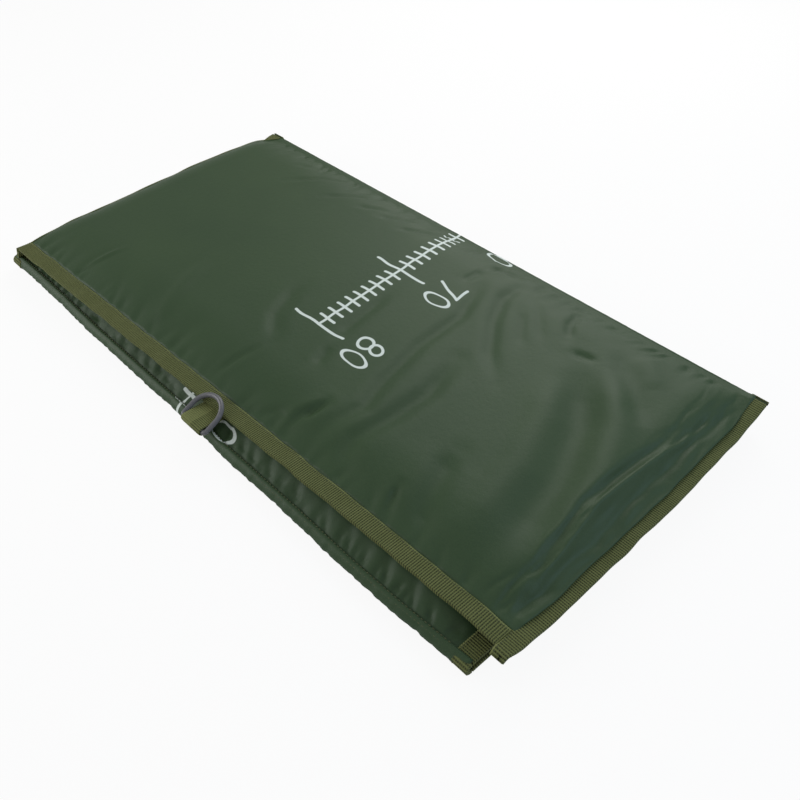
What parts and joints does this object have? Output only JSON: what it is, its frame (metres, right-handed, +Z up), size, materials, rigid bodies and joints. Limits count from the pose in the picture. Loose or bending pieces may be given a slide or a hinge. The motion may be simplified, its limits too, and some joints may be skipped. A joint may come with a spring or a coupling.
{
  "type": "folding unhooking mat",
  "caption": "Padded three-panel mat for landing and measuring fish, folded like a letter, with taped edges and a D-ring on a webbing tab.",
  "frame": {"origin": "middle of the folded mat's footprint, on the ground", "axes": "+Z up from the ground; +X towards the outer fold, -X towards the free end with the D-ring; +Y towards the left side seen from the D-ring end, along the mat's width"},
  "size_m": [0.3336, 0.6372, 0.0394],
  "materials": {
    "printed_nylon": "semi-matt coated nylon, dark green",
    "backing_cloth": "matt coated cloth, very dark green",
    "foam": "closed-cell foam, pale grey",
    "binding_tape": "woven tape, olive",
    "webbing": "ribbed webbing, olive",
    "ring_plastic": "satin grey plastic"
  },
  "bodies": {
    "lower_mat": {"bottom_foam": "foam", "bottom_print_cover": "printed_nylon", "bottom_back_cover": "backing_cloth", "bottom_tape_left": "binding_tape", "bottom_tape_right": "binding_tape", "inner_foam": "foam", "inner_print_cover": "printed_nylon", "inner_back_cover": "backing_cloth", "inner_tape_left": "binding_tape", "inner_tape_right": "binding_tape", "inner_tape_end": "binding_tape", "inner_fold_band": "printed_nylon", "inner_fold_tape_left": "binding_tape", "inner_fold_tape_right": "binding_tape"},
    "outer_fold": {"outer_fold_band": "printed_nylon", "outer_fold_tape_left": "binding_tape", "outer_fold_tape_right": "binding_tape"},
    "top_panel": {"top_foam": "foam", "top_print_cover": "printed_nylon", "top_back_cover": "backing_cloth", "top_tape_left": "binding_tape", "top_tape_right": "binding_tape", "top_tape_end": "binding_tape", "ring_tab": "webbing"},
    "ring": {"d_ring": "ring_plastic"}
  },
  "joints": [
    {"name": "outer_fold_lower_seam", "type": "hinge", "parent": "lower_mat", "child": "outer_fold", "pos_m": [0.16129, -0.00623, 0.00575], "axis": [0, 1, 0], "range_deg": [0, 90]},
    {"name": "outer_fold_upper_seam", "type": "hinge", "parent": "outer_fold", "child": "top_panel", "pos_m": [0.16129, -0.00623, 0.03365], "axis": [0, 1, 0], "range_deg": [0, 90]},
    {"name": "ring_swivel", "type": "hinge", "parent": "top_panel", "child": "ring", "pos_m": [-0.16325, -0.01563, 0.02245], "axis": [0, -1, 0], "range_deg": [0, 165]}
  ],
  "couplings": [
    {"joint": "outer_fold_upper_seam", "follows": "outer_fold_lower_seam", "ratio": 1}
  ]
}
